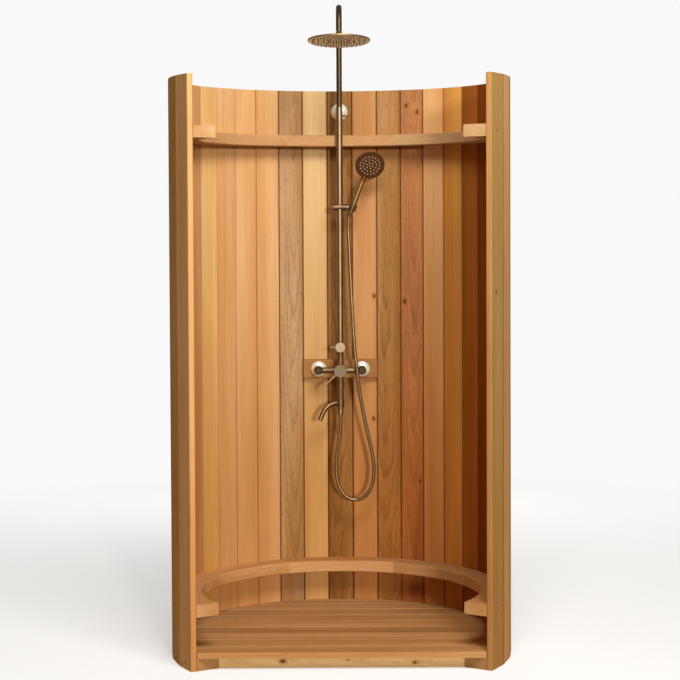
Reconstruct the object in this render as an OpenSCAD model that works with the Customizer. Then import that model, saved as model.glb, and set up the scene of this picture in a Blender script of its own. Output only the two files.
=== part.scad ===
// Round outdoor shower: a cedar stave wall on three ribs, a slatted floor and an exposed brass column.
// Sizes are millimetres and Z is up. The open front faces -Y.
// The origin is the centre of the wall's circle, on the underside of the floor.
// Angles go round the wall from the back (+Y), and are positive towards +X.

/* [Wall] */
// Height of the staves
wall_h = 1829; // [1700:1:2100]
// Radius from the centre to the inner corners of the stave joints
wall_r = 525; // [505:1:580]
// Angle from the middle of the back to each end of the wall
wall_half_a = 122.2; // [115:0.1:130]
// Thickness of a stave
stave_t = 19; // [16:0.5:25]
// Angle that each stave round the back takes up
back_a = 9.42; // [9.2:0.01:9.7]
// Thickness of the tongue between two staves
tongue_t = 6; // [4:0.5:7]
// Length of the tongue
tongue_l = 6; // [4:0.5:9]
// Chamfer along each edge of a stave, half of the V groove at a joint
stave_chamfer = 2.5; // [1:0.5:4]

/* [Ribs] */
// Height of a rib, its stock thickness
rib_h = 38; // [30:1:45]
// Width of a rib from the staves inwards
rib_w = 77; // [60:1:90]
// Radius on the inner edges of a rib
rib_edge_r = 4; // [2:0.5:8]
// Distance from the top of the wall down to the top of the upper rib
upper_rib_drop = 156; // [120:1:200]
// Height of the underside of the lower rib
lower_rib_z = 166; // [120:1:220]

/* [Floor] */
// Thickness of a floor slat
slat_t = 19; // [16:0.5:28]
// Gap between two floor slats
slat_gap = 6; // [4:0.5:12]
// Number of floor slats
slat_n = 9; // [7:1:12]
// Radius on the top edges of a floor slat
slat_edge_r = 4; // [2:0.5:7]
// Gap between the slats' ends and the wall
floor_gap = 2; // [1:0.5:6]
// Thickness of the toe board under the front of the floor
toe_t = 38; // [25:1:45]
// Width of a floor joist
joist_w = 38; // [30:1:50]
// Distance between two floor joists
joist_pitch = 200; // [150:1:240]

/* [Backing board] */
// Length of the board behind the mixer
board_w = 256; // [230:1:300]
// Height of the board
board_h = 65; // [58:1:90]
// Thickness of the board at its middle
board_t = 34; // [28:1:42]

/* [Column] */
// Outside diameter of the riser pipe
riser_d = 22; // [20:0.5:25]
// Inside diameter of the riser pipe
riser_bore = 19.4; // [18:0.1:19.5]
// Gap between the riser pipe and the ribs
riser_gap = 7; // [6:0.5:15]
// Distance from the top of the wall down to the wall bracket
bracket_drop = 72; // [50:1:100]
// Diameter of the wall bracket's rosette
rosette_d = 57; // [45:1:70]
// Diameter of the wall bracket's stem
bracket_d = 16; // [12:0.5:18]

/* [Overhead arm and rain head] */
// Outside diameter of the overhead arm
arm_d = 19; // [17:0.5:19]
// Wall thickness of the overhead arm
arm_wall = 1.5; // [1:0.1:2.5]
// Height of the arm's level run above the wall bracket
arm_rise = 318; // [280:1:400]
// Radius of the arm's two bends
arm_bend_r = 62; // [45:1:75]
// Distance from the riser to the middle of the rain head
arm_reach = 338; // [280:1:400]
// Straight drop of the arm below its front bend
arm_drop = 21; // [14:1:40]
// Length of the arm that is inside the riser pipe
arm_overlap = 240; // [150:5:260]
// Distance from the riser's top down to the clamp pin that holds the arm
clamp_drop = 31; // [20:1:45]
// Length of the clamp pin outside the riser
clamp_pin_l = 26; // [20:1:35]
// Diameter of the ball that the rain head swings on
ball_d = 18; // [16:0.5:20]
// Diameter of the rain head
rain_d = 203; // [180:1:230]
// Thickness of the rain head at its rim
rain_rim_t = 6; // [5:0.5:10]
// Depth from the ball's centre to the rain head's face
rain_depth = 22; // [20:1:30]
// Angle that the rain head hangs forward
rain_tilt_a = 6; // [0:0.5:12]
// Distance between two rings of rain jets
rain_ring_pitch = 17; // [15:0.5:18]

/* [Mixer] */
// Height of the mixer's centre above the ground
mixer_z = 866; // [820:1:950]
// Distance between the hot and cold inlets
inlet_pitch = 150; // [140:1:160]
// Diameter of the mixer's cross bar
bar_d = 20; // [18:0.5:26]
// Diameter of the inlet bosses
inlet_boss_d = 28; // [26:0.5:34]
// Diameter of the inlets' supply threads
supply_d = 20.9; // [20:0.1:22]
// Bore through each supply union
supply_bore = 14; // [10:0.5:15]
// Length of the supply union behind the wall
supply_tail = 32; // [25:1:60]
// Length of the supply thread at the union's end
supply_thread_l = 16; // [12:1:20]
// Diameter of the mixer's control cap
cap_d = 45; // [42:0.5:50]
// Thickness of the control cap
cap_t = 11.5; // [10:0.5:14]
// Diameter of the pin levers' thicker one, on the control cap
lever_d = 6; // [5:0.5:7]
// Length of the control lever outside the cap
lever_l = 57; // [45:1:70]
// Angle of the control lever below level
lever_a = 42; // [20:1:70]
// Height of the diverter above the mixer's centre
diverter_rise = 80; // [65:1:95]
// Diameter of the diverter's knob
diverter_d = 35.5; // [30:0.5:40]
// Diameter of the escutcheons behind the inlets
escutcheon_d = 53; // [45:0.5:55]

/* [Spout] */
// Distance from the mixer's centre down to the spout's collar
spout_drop = 112; // [95:1:140]
// Outside diameter of the spout
spout_d = 16; // [14:0.5:18]
// Bore of the spout
spout_bore = 12; // [10:0.5:12]
// Radius of the spout's bend
spout_bend_r = 58; // [50:1:70]
// Angle that the spout is turned to the left of straight ahead
spout_turn_a = 70; // [0:1:80]

/* [Hand shower] */
// Height of the slider above the mixer's centre
slider_rise = 560; // [400:1:620]
// Distance from the riser to the middle of the holder
holder_x = 44; // [42:1:55]
// Angle that the hand shower leans to the right
handset_lean_a = 21; // [10:1:30]
// Angle that the hand shower leans forward
handset_tilt_a = 5; // [0:1:15]
// Angle that the hand shower is turned to the right in its holder
handset_turn_a = 15; // [-30:1:30]
// Distance from the holder to the middle of the spray face
handset_l = 155; // [140:1:200]
// Diameter of the handle
handle_d = 17; // [15:0.5:20]
// Diameter of the hand shower's head
handset_d = 100; // [90:1:120]
// Depth of the hand shower's head
handset_t = 22; // [20:0.5:28]
// Angle between the spray face and the handle
face_tilt_a = 20; // [5:1:30]
// Distance between two rings of spray jets
spray_ring_pitch = 11; // [9:0.5:12]
// Outside diameter of the hose
hose_d = 13; // [12:0.5:14]

/* [Hidden] */
// Counts of the staves round the back and on each side, and of the rib segments
back_n = 13;
side_n = 6;
stave_n = back_n + 2 * side_n;
rib_seg_n = 5;
seg_stave_n = stave_n / rib_seg_n;

// Clearances
joint_gap = 0.4;
tongue_fit = 0.4;
wood_fit = 0.2;
seg_gap = 0.3;
metal_fit = 0.2;
turn_fit = 0.3;
hose_fit = 0.5;
eps = 1;

// Screws that hold the staves to the ribs
screw_d = 4;
screw_head_d = 8;
screw_head_t = 3;
screw_l = 48;
screw_recess = 4;
screw_hole_fit = 0.5;
screw_tip_gap = 3;

// Wall, ribs and floor
back_half_a = back_n * back_a / 2;
side_a = (wall_half_a - back_half_a) / side_n;
back_face = wall_r * cos(back_a / 2);
rib_in_r = wall_r - rib_w;
upper_rib_z = wall_h - upper_rib_drop - rib_h;
rib_zs = [0, lower_rib_z, upper_rib_z];
floor_front_y = wall_r * cos(wall_half_a) + floor_gap;
floor_back_y = back_face - floor_gap;
slat_pitch = (floor_back_y - floor_front_y + slat_gap) / slat_n;
toe_front_y = rib_in_r * cos(wall_half_a);

// Column
column_y = rib_in_r - riser_gap - riser_d / 2;
bracket_z = wall_h - bracket_drop;
arm_z = bracket_z + arm_rise;
riser_top = bracket_z + bracket_d / 2 + 4;
riser_z0 = mixer_z + diverter_rise + 20;
clamp_z = riser_top - clamp_drop;
clamp_pin_d = 6;
clamp_shank_d = 5;
spigot_l = 24;

// Overhead arm and rain head, measured from the ball's centre
head_y = column_y - arm_reach;
neck_d = 9;
neck_l = 2.5;
arm_end_z = arm_z - arm_bend_r - arm_drop;
ball_z = arm_end_z - neck_l - ball_d / 2;
ring_h = 11;
ring_d = ball_d + 8;
ring_mouth_d = neck_d + 6;
rain_skin = 2;
boss_d = ring_d - 3;
boss_flare = 12;
crown_h = 6;
rain_edge_r = 2;
rain_feed_d = 8;
rain_ring_n = 5;
jet_d = 4;
jet_out = 4.5;
jet_flange_d = 6;
jet_flange_t = 1;

// Mixer
boss_front = 14;
barrel_d = 40;
barrel_front = 20;
cartridge_d = 32;
cartridge_l = 22;
cartridge_back = 4;
stem_d = 10;
cap_pivot = 31;
cap_back = cap_pivot - 2.5;
cap_chamfer = 1;
lever_seat_r = 13.5;
board_front_y = back_face - board_t;
board_z = mixer_z - board_h / 2;
union_front_y = column_y + boss_front + 11.3;
union_back_y = back_face + stave_t + supply_tail;
nut_front_y = column_y + boss_front + 2;
nut_l = 18;
nut_af = 30;
escutcheon_t = 14;
rosette_t = 14;
bracket_stem_l = back_face - column_y;
diverter_z = mixer_z + diverter_rise;
diverter_boss_d = 26;
diverter_boss_l = 18;
diverter_knob_t = 10;
diverter_spindle_d = 10;
diverter_pin_d = 4.5;
diverter_pin_l = 16;

// Spout and hose outlet
spout_z = mixer_z - spout_drop;
collar_h = 23;
collar_d = 26;
pivot_d = 17;
spout_start = collar_d / 2 - 1;
spout_bend_a = 65;
spout_tip_l = 28;
tip_step = 0.6;
aerator_l = 8;
outlet_ring_d = 23;
outlet_ring_h = 6;
outlet_thread_d = 15;
outlet_thread_l = 14;
outlet_stem_d = 9;
outlet_stem_l = 12;
collar_z = spout_z - collar_h / 2;
outlet_z = collar_z - metal_fit - outlet_ring_h;
lower_nut_d = 19.5;
lower_nut_l = 22;
lower_nut_z = outlet_z - metal_fit - lower_nut_l;

// Hand shower, measured from the middle of the holder
slider_z = mixer_z + slider_rise;
slider_h = 22;
slider_wall = 2.5;
slider_arm_l = 24;
slider_left_l = 18;
holder_arm_d = 14;
knob_d = 20;
knob_t = 11;
knob_shank_d = 6;
knob_shank_l = 6;
flute_n = 10;
flute_d = 3;
pivot_pin_d = 7;
pivot_pin_l = 4.5;
holder_d = 30;
holder_h = 24;
slot_w = hose_d + 2.5;
cone_top_d = 21;
cone_bottom_d = 17.5;
cone_top = 10;
cone_bottom = -24;
hose_seat_l = 9;
head_overlap = 30;
handle_end = handset_l - head_overlap;
head_forward = handset_d / 2 * sin(face_tilt_a) + handle_d / 2 - 4;
head_skin = 2.2;
head_rim_t = 8;
face_t = 3;
face_inset = 1;
spray_ring_n = 3;
spray_jet_d = 3.2;
spray_jet_out = 2;

// Route of the hose, from the hand shower's nut down round its loop and up to the outlet
hose_route = [
    [37, 432, 1408], [33, 433, 1398], [30, 434, 1384], [29, 434, 1350], [32, 430, 1280], [37, 424, 1160],
    [43, 417, 1040], [49, 411, 940], [57, 409, 866], [66, 411, 790], [80, 416, 710], [96, 420, 635],
    [109, 423, 575], [114, 425, 520], [107, 427, 470], [86, 428, 434], [52, 429, 418], [18, 430, 431],
    [-7, 430, 468], [-16, 430, 520], [-14, 430, 575], [-5, 430, 630], [0, 430, 680], [0, 430, 720]
];
hose_sides = 10;
hose_steps = 3;

// Colours
cedar_honey = [0.84, 0.62, 0.38];
cedar_tan = [0.78, 0.55, 0.33];
cedar_red = [0.66, 0.41, 0.23];
cedar_brown = [0.58, 0.38, 0.20];
cedar_pale = [0.88, 0.68, 0.45];
stave_tones = [
    cedar_tan, cedar_red, cedar_tan, cedar_honey, cedar_tan, cedar_pale, cedar_honey, cedar_tan, cedar_tan,
    cedar_honey, cedar_brown, cedar_pale, cedar_brown, cedar_honey, cedar_tan, cedar_brown, cedar_tan,
    cedar_tan, cedar_red, cedar_red, cedar_tan, cedar_honey, cedar_tan, cedar_red, cedar_tan
];
bronze = [0.50, 0.39, 0.24];
dark_bronze = [0.36, 0.25, 0.15];
nickel = [0.86, 0.86, 0.82];
silicone = [0.90, 0.88, 0.82];
ceramic = [0.93, 0.93, 0.90];

$fn = 48;

function stave_name(i) = str("stave_", i < 9 ? "0" : "", i + 1);
function round_the_wall(r, a) = [r * sin(a), r * cos(a)];

// Angle of joint i, counted from the left end of the wall
function joint_a(i) =
    i <= side_n ? i * side_a - wall_half_a :
    i <= side_n + back_n ? (i - side_n) * back_a - back_half_a :
    (i - side_n - back_n) * side_a + back_half_a;
function stave_a(i) = (joint_a(i) + joint_a(i + 1)) / 2;
function stave_half_a(i) = (joint_a(i + 1) - joint_a(i)) / 2;

// Outline of the space inside the wall, drawn back by a gap
module inside_wall(gap) polygon([for (i = [0 : stave_n]) round_the_wall(wall_r - gap, joint_a(i))]);

// A bar's section with both corners of its low-x edge rounded
module eased_section(w, h, r) {
    translate([r, 0]) square([w - r, h]);
    translate([0, r]) square([w, h - 2 * r]);
    for (y = [r, h - r]) translate([r, y]) circle(r);
}

// A cylinder whose axis runs along +Y from the origin
module along_y(d, l) rotate([-90, 0, 0]) cylinder(d = d, h = l);
module along_x(d, l) rotate([0, 90, 0]) cylinder(d = d, h = l);

// A disc along +Z with a chamfer on both rims
module knob_disc(d, t, c) rotate_extrude()
    polygon([[0, 0], [d / 2 - c, 0], [d / 2, c], [d / 2, t - c], [d / 2 - c, t], [0, t]]);

// Places on each inlet's axis, at the column's depth
module at_inlets() for (side = [-1, 1]) translate([side * inlet_pitch / 2, 0, mixer_z]) children();

module supply_holes() at_inlets() translate([0, board_front_y - eps, 0])
    along_y(supply_d + 2 * eps, board_t + 2 * stave_t);

// Wall
module stave_section(i) {
    half_a = stave_half_a(i);
    face = wall_r * cos(half_a);
    back = face + stave_t;
    tongue_r = (face + stave_t / 2) / cos(half_a) - tongue_t / 2;
    function edge_x(y) = y * tan(half_a) - joint_gap / 2 / cos(half_a);
    c = stave_chamfer;
    side = [[edge_x(face) - c, face], [edge_x(face + c), face + c],
            [edge_x(back - c), back - c], [edge_x(back) - c, back]];
    difference() {
        union() {
            polygon(concat(side, [for (k = [3 : -1 : 0]) [-side[k].x, side[k].y]]));
            if (i < stave_n - 1) rotate(-half_a) translate([-eps, tongue_r]) square([tongue_l + eps, tongue_t]);
        }
        if (i > 0) rotate(half_a) translate([-eps, tongue_r - tongue_fit])
            square([tongue_l + tongue_fit + eps, tongue_t + 2 * tongue_fit]);
    }
}

module stave(i) {
    face = wall_r * cos(stave_half_a(i));
    color(stave_tones[i % len(stave_tones)]) difference() {
        rotate(-stave_a(i)) linear_extrude(wall_h) stave_section(i);
        for (z = rib_zs) rotate(-stave_a(i)) translate([0, face - eps, z + rib_h / 2]) {
            along_y(screw_d + screw_hole_fit, stave_t + 2 * eps);
            translate([0, eps + stave_t - screw_recess, 0])
                along_y(screw_head_d + screw_hole_fit, 2 * screw_recess);
        }
        if (abs(stave_a(i)) < 2 * back_a) supply_holes();
    }
}

module stave_screws() color(dark_bronze) for (i = [0 : stave_n - 1], z = rib_zs)
    rotate(-stave_a(i)) translate([0, wall_r * cos(stave_half_a(i)) + stave_t - screw_recess, z + rib_h / 2]) {
        along_y(screw_head_d, screw_head_t);
        translate([0, -screw_l, 0]) along_y(screw_d, screw_l + eps);
    }

// Ribs
module rib_blank(k) polygon(concat([[0, 0]], [for (i = [0 : seg_stave_n])
    round_the_wall(wall_r - wood_fit, joint_a(k * seg_stave_n + i) + seg_trim_a(i))]));

// Angle that a segment's end is drawn back, so that two segments meet with a hairline joint
function seg_trim_a(i) = i == 0 ? seg_gap / 2 / wall_r * 180 / PI :
    i == seg_stave_n ? -seg_gap / 2 / wall_r * 180 / PI : 0;

module rib(z) color(cedar_tan) translate([0, 0, z]) for (k = [0 : rib_seg_n - 1]) difference() {
    intersection() {
        rotate_extrude($fn = 96) translate([rib_in_r, 0]) eased_section(rib_w + 2 * eps, rib_h, rib_edge_r);
        translate([0, 0, -eps]) linear_extrude(rib_h + 2 * eps) rib_blank(k);
    }
    for (i = [k * seg_stave_n : (k + 1) * seg_stave_n - 1]) rotate(-stave_a(i))
        translate([0, wall_r - screw_l + stave_t - screw_recess - screw_tip_gap, rib_h / 2])
            along_y(screw_d + screw_hole_fit, screw_l);
}
module upper_rib() rib(upper_rib_z);
module lower_rib() rib(lower_rib_z);
module base_rib() rib(0);

// Floor
module deck_slats() color(cedar_tan) intersection() {
    translate([0, 0, rib_h]) linear_extrude(slat_t) inside_wall(floor_gap);
    for (k = [0 : slat_n - 1]) translate([-wall_r, floor_front_y + k * slat_pitch, rib_h])
        rotate([90, 0, 90]) linear_extrude(2 * wall_r) slat_section();
}

module slat_section() {
    w = slat_pitch - slat_gap;
    square([w, slat_t - slat_edge_r]);
    translate([slat_edge_r, 0]) square([w - 2 * slat_edge_r, slat_t]);
    for (x = [slat_edge_r, w - slat_edge_r]) translate([x, slat_t - slat_edge_r]) circle(slat_edge_r);
}

module toe_board() color(cedar_honey) intersection() {
    translate([-wall_r, toe_front_y, 0]) rotate([90, 0, 90]) linear_extrude(2 * wall_r)
        eased_section(toe_t, rib_h, slat_edge_r);
    cylinder(r = rib_in_r - wood_fit, h = rib_h, $fn = 96);
}

module deck_joists() color(cedar_red) intersection() {
    for (x = [-joist_pitch, 0, joist_pitch])
        translate([x - joist_w / 2, toe_front_y + toe_t + wood_fit, 0]) cube([joist_w, 2 * wall_r, rib_h]);
    cylinder(r = rib_in_r - wood_fit, h = rib_h, $fn = 96);
}

// Board that the mixer's inlets come through
module mixer_backing_board() color(cedar_tan) difference() {
    intersection() {
        translate([-board_w / 2, board_front_y, board_z]) rotate([90, 0, 90]) linear_extrude(board_w)
            eased_section(2 * board_t, board_h, slat_edge_r);
        linear_extrude(wall_h) inside_wall(wood_fit);
    }
    supply_holes();
}

// Riser, the clamp pin screwed through its side against the arm, and the wall bracket
module riser_pipe() color(bronze) translate([0, column_y, 0]) difference() {
    translate([0, 0, riser_z0]) cylinder(d = riser_d, h = riser_top - riser_z0);
    translate([0, 0, riser_z0 - eps]) cylinder(d = riser_bore, h = riser_top - riser_z0 + 2 * eps);
    translate([0, 0, clamp_z]) rotate([0, 90, 0]) cylinder(d = clamp_shank_d + 2 * metal_fit, h = riser_d);
}

module arm_clamp_pin() color(bronze) translate([0, column_y, clamp_z]) rotate([0, 90, 0]) {
    translate([0, 0, riser_bore / 2]) cylinder(d = clamp_shank_d, h = riser_d / 2);
    translate([0, 0, riser_d / 2 + metal_fit]) knob_disc(clamp_pin_d, clamp_pin_l, 1);
}

module wall_bracket() color(bronze) difference() {
    translate([0, column_y, bracket_z]) along_y(bracket_d, bracket_stem_l - wood_fit);
    translate([0, column_y, bracket_z - bracket_d]) cylinder(d = riser_d + 2 * metal_fit, h = 2 * bracket_d);
}

// A domed cover plate against a wall behind it, with a hole for a pipe
module cover_plate(d, t, hole) {
    rim = 2.5;
    dome_r = (pow(d / 2, 2) + pow(t - rim, 2)) / 2 / (t - rim);
    difference() {
        intersection() {
            translate([0, -t, 0]) along_y(d, t);
            translate([0, dome_r - t, 0]) sphere(r = dome_r);
        }
        translate([0, -t - eps, 0]) along_y(hole, t + 2 * eps);
    }
}

// The three cover plates: one on the wall bracket's stem and one on each inlet
module cover_plates() color(nickel) {
    translate([0, back_face - wood_fit, bracket_z])
        cover_plate(rosette_d, rosette_t, bracket_d + 2 * metal_fit);
    at_inlets() translate([0, board_front_y - wood_fit, 0])
        cover_plate(escutcheon_d, escutcheon_t, supply_d + 2 * metal_fit);
}

// The overhead arm's line as a rod of one diameter, with its lower end run on by a length
module arm_line(d, run_on) {
    translate([0, column_y, riser_top - arm_overlap - run_on])
        cylinder(d = d, h = arm_z - arm_bend_r - riser_top + arm_overlap + run_on);
    translate([0, column_y - arm_bend_r, arm_z - arm_bend_r]) rotate([90, 0, 90])
        rotate_extrude(angle = 90) translate([arm_bend_r, 0]) circle(d = d);
    translate([0, head_y + arm_bend_r, arm_z]) along_y(d, arm_reach - 2 * arm_bend_r);
    translate([0, head_y + arm_bend_r, arm_z - arm_bend_r]) rotate([90, 0, 90])
        rotate_extrude(angle = 90, start = 90) translate([arm_bend_r, 0]) circle(d = d);
    translate([0, head_y, arm_end_z]) cylinder(d = d, h = arm_drop);
}

module overhead_arm() color(bronze) {
    difference() {
        arm_line(arm_d, 0);
        arm_line(arm_d - 2 * arm_wall, eps);
    }
    translate([0, head_y, arm_end_z]) cylinder(d = arm_d - arm_wall, h = arm_wall);
    translate([0, head_y, ball_z]) cylinder(d = neck_d, h = neck_l + ball_d / 2 + arm_wall);
    translate([0, head_y, ball_z]) sphere(d = ball_d);
}

// Rain head, drawn about the ball's centre
module at_ball() translate([0, head_y, ball_z]) rotate([-rain_tilt_a, 0, 0]) children();

module rain_ball_nut() color(bronze) at_ball() difference() {
    translate([0, 0, -ring_h / 2]) knob_disc(ring_d, ring_h, 1.5);
    sphere(d = ball_d + 2 * turn_fit);
    cylinder(d = ring_mouth_d, h = ring_h);
    translate([0, 0, -ring_h]) cylinder(d = ball_d - 4, h = ring_h);
}

// Half section of the rain head: a thin welded dish under a boss
module rain_section(skin) {
    r = rain_d / 2 - skin;
    e = rain_edge_r;
    bottom = -rain_depth + skin;
    rim_top = -rain_depth + rain_rim_t - skin;
    crown_z = -rain_depth + rain_rim_t + crown_h - skin;
    polygon([[0, bottom], [r - e, bottom], [r, bottom + e], [r, rim_top - e / 4], [r - e, rim_top],
             [boss_d / 2 + boss_flare, crown_z - e], [boss_d / 2 + e, crown_z], [0, crown_z]]);
}

module rain_jet_places() for (ring = [0 : rain_ring_n], k = [0 : max(ring * 6 - 1, 0)])
    rotate(k * 360 / max(ring * 6, 1)) translate([ring * rain_ring_pitch, 0, -rain_depth]) children();

module rain_head_body() color(bronze) at_ball() difference() {
    union() {
        rotate_extrude($fn = 96) rain_section(0);
        translate([0, 0, -rain_depth + rain_rim_t])
            cylinder(d = boss_d, h = rain_depth - rain_rim_t - ring_h / 2 - turn_fit);
    }
    rotate_extrude($fn = 96) rain_section(rain_skin);
    sphere(d = ball_d + 2 * turn_fit);
    translate([0, 0, -rain_depth + rain_skin + eps]) cylinder(d = rain_feed_d, h = rain_depth);
    rain_jet_places() translate([0, 0, -eps])
        cylinder(d = jet_d + 2 * metal_fit, h = rain_skin + 2 * eps, $fn = 16);
}

module rain_nozzles() color(silicone) at_ball() rain_jet_places() {
    translate([0, 0, -jet_out]) cylinder(d1 = jet_d - 1.2, d2 = jet_d, h = jet_out, $fn = 16);
    cylinder(d = jet_d, h = rain_skin + jet_flange_t, $fn = 16);
    translate([0, 0, rain_skin]) cylinder(d = jet_flange_d, h = jet_flange_t, $fn = 16);
}

// Slider on the riser
module at_slider() translate([0, column_y, slider_z]) children();

// End view of the slider: a bar with a round front and back, deep enough to go round the riser
module slider_section() {
    middle = (riser_d + 2 * slider_wall - slider_h) / 2;
    square([2 * middle, slider_h], center = true);
    for (side = [-1, 1]) translate([side * middle, 0]) circle(d = slider_h);
}

module slider_body() color(bronze) at_slider() difference() {
    union() {
        translate([-slider_left_l, 0, 0]) rotate([90, 0, 90]) linear_extrude(slider_left_l + slider_arm_l)
            slider_section();
        translate([slider_arm_l - eps, 0, 0]) along_x(pivot_pin_d, pivot_pin_l + eps);
    }
    translate([0, 0, -slider_h]) cylinder(d = riser_d + 2 * turn_fit, h = 2 * slider_h);
    translate([-slider_left_l - eps, 0, 0]) along_x(knob_shank_d + 2 * turn_fit, slider_left_l + eps);
}

module slider_knob() color(dark_bronze) at_slider() translate([-slider_left_l - turn_fit, 0, 0]) difference() {
    union() {
        rotate([0, -90, 0]) knob_disc(knob_d, knob_t, 1);
        translate([-eps, 0, 0]) along_x(knob_shank_d, knob_shank_l + eps);
    }
    for (k = [0 : flute_n - 1]) rotate([k * 360 / flute_n, 0, 0])
        translate([-knob_t - eps, 0, knob_d / 2 + 0.6]) along_x(flute_d, knob_t + eps - 1.5, $fn = 24);
}

// Holder and hand shower, drawn about the middle of the holder with the handle along +Z
module at_holder() translate([holder_x, column_y, slider_z])
    rotate([handset_tilt_a, handset_lean_a, 0]) children();

// The nut's cone, or the holder's seat for it when it is grown
module hose_cone(grow) rotate_extrude() polygon([[0, cone_bottom], [cone_bottom_d / 2 + grow, cone_bottom],
    [cone_top_d / 2 + grow, cone_top], [0, cone_top]]);

module handset_holder() color(bronze) difference() {
    union() {
        at_holder() translate([0, 0, -holder_h / 2]) knob_disc(holder_d, holder_h, 1.5);
        at_slider() translate([slider_arm_l + turn_fit, 0, 0])
            along_x(holder_arm_d, holder_x - slider_arm_l - holder_d / 2 + 3);
    }
    at_holder() {
        hose_cone(turn_fit);
        translate([0, 0, cone_top - 0.1]) cylinder(d = cone_top_d + 2 * turn_fit, h = holder_h);
        translate([-slot_w / 2, -holder_d, -holder_h]) cube([slot_w, holder_d, 2 * holder_h]);
    }
    at_slider() translate([slider_arm_l, 0, 0]) along_x(pivot_pin_d + 2 * turn_fit, pivot_pin_l + turn_fit);
}

module hose_upper_nut() color(bronze) at_holder() difference() {
    hose_cone(0);
    translate([0, 0, cone_bottom - eps]) cylinder(d = hose_d + 2 * hose_fit, h = hose_seat_l + eps);
}

module at_handset() at_holder() rotate(handset_turn_a) children();

// Places on the spray face: +Z is out of the face, and the origin is its middle
module at_face() at_handset() translate([0, -head_forward, handset_l]) rotate([90 + face_tilt_a, 0, 0])
    children();

// The hand shower's head, or the space in it when its skin is taken off
module spray_head(skin) {
    dome = handset_t - head_rim_t;
    dome_r = (pow(handset_d / 2, 2) + pow(dome, 2)) / 2 / dome;
    intersection() {
        translate([0, 0, -handset_t])
            cylinder(d = handset_d - 2 * skin, h = handset_t + (skin > 0 ? eps : 0), $fn = 96);
        translate([0, 0, dome_r - handset_t]) sphere(r = dome_r - skin, $fn = 96);
    }
}

module handset_body() color(dark_bronze) difference() {
    union() {
        at_holder() translate([0, 0, cone_top + metal_fit])
            cylinder(d1 = handle_d + 2, d2 = handle_d, h = handle_end - cone_top - metal_fit);
        at_holder() translate([0, 0, handle_end]) sphere(d = handle_d);
        at_face() spray_head(0);
    }
    at_face() spray_head(head_skin);
    at_holder() translate([0, 0, cone_top]) cylinder(d = handle_d - 5, h = handle_end - cone_top);
}

module spray_jet_places() for (ring = [0 : spray_ring_n], k = [0 : max(ring * 6 - 1, 0)])
    rotate(k * 360 / max(ring * 6, 1)) translate([ring * spray_ring_pitch, 0, -face_inset]) children();

module handset_face() color(dark_bronze) at_face() difference() {
    translate([0, 0, -face_inset - face_t])
        cylinder(d = handset_d - 2 * head_skin - 2 * metal_fit, h = face_t, $fn = 96);
    spray_jet_places() translate([0, 0, -face_t - eps])
        cylinder(d = spray_jet_d + 2 * metal_fit, h = face_t + 2 * eps, $fn = 16);
}

module handset_nozzles() color(silicone) at_face() spray_jet_places() {
    cylinder(d1 = spray_jet_d, d2 = spray_jet_d - 0.8, h = spray_jet_out, $fn = 16);
    translate([0, 0, -face_t - jet_flange_t]) cylinder(d = spray_jet_d, h = face_t + jet_flange_t, $fn = 16);
    translate([0, 0, -face_t - jet_flange_t]) cylinder(d = spray_jet_d + 2, h = jet_flange_t, $fn = 16);
}

// Hose: a smooth curve through the route's points, swept as one tube
function curve_at(p, i, t) =
    let (a = p[max(i - 1, 0)], b = p[i], c = p[i + 1], d = p[min(i + 2, len(p) - 1)])
    0.5 * (2 * b + (c - a) * t + (2 * a - 5 * b + 4 * c - d) * t * t + (3 * b - a - 3 * c + d) * t * t * t);
hose_curve = concat(
    [for (i = [0 : len(hose_route) - 2], s = [0 : hose_steps - 1]) curve_at(hose_route, i, s / hose_steps)],
    [hose_route[len(hose_route) - 1]]
);
function hose_heading(i) = hose_curve[min(i + 1, len(hose_curve) - 1)] - hose_curve[max(i - 1, 0)];
function unit(v) = v / norm(v);
function hose_ring(i) =
    let (side = unit(cross(hose_heading(i), [0, 1, 0])), up = unit(cross(side, hose_heading(i))))
    [for (k = [0 : hose_sides - 1]) hose_curve[i]
        + hose_d / 2 * (cos(k * 360 / hose_sides) * side + sin(k * 360 / hose_sides) * up)];
function run_length(p, i = 1) = i >= len(p) ? 0 : norm(p[i] - p[i - 1]) + run_length(p, i + 1);

module shower_hose() {
    last = len(hose_curve) - 1;
    n = hose_sides;
    echo(hose_length = run_length(hose_curve));
    color(bronze) polyhedron(
        points = [for (i = [0 : last]) each hose_ring(i)],
        faces = concat(
            [[for (k = [n - 1 : -1 : 0]) k]],
            [for (i = [0 : last - 1], k = [0 : n - 1])
                [i * n + k, i * n + (k + 1) % n, (i + 1) * n + (k + 1) % n, (i + 1) * n + k]],
            [[for (k = [0 : n - 1]) last * n + k]]
        )
    );
}

module hose_outlet() color(bronze) translate([0, column_y, outlet_z]) {
    difference() {
        union() {
            knob_disc(outlet_ring_d, outlet_ring_h, 1);
            translate([0, 0, -outlet_thread_l]) cylinder(d = outlet_thread_d, h = outlet_thread_l + eps);
            cylinder(d = outlet_stem_d, h = outlet_ring_h + outlet_stem_l);
        }
        translate([0, 0, -outlet_thread_l - eps])
            cylinder(d = 5, h = outlet_thread_l + outlet_ring_h + outlet_stem_l + 2 * eps);
    }
}

module hose_lower_nut() color(bronze) translate([0, column_y, lower_nut_z]) difference() {
    knob_disc(lower_nut_d, lower_nut_l, 1);
    translate([0, 0, -eps]) cylinder(d = hose_d + 2 * hose_fit, h = lower_nut_l);
    translate([0, 0, lower_nut_l - outlet_thread_l - metal_fit])
        cylinder(d = outlet_thread_d + 2 * metal_fit, h = outlet_thread_l + eps);
}

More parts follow.
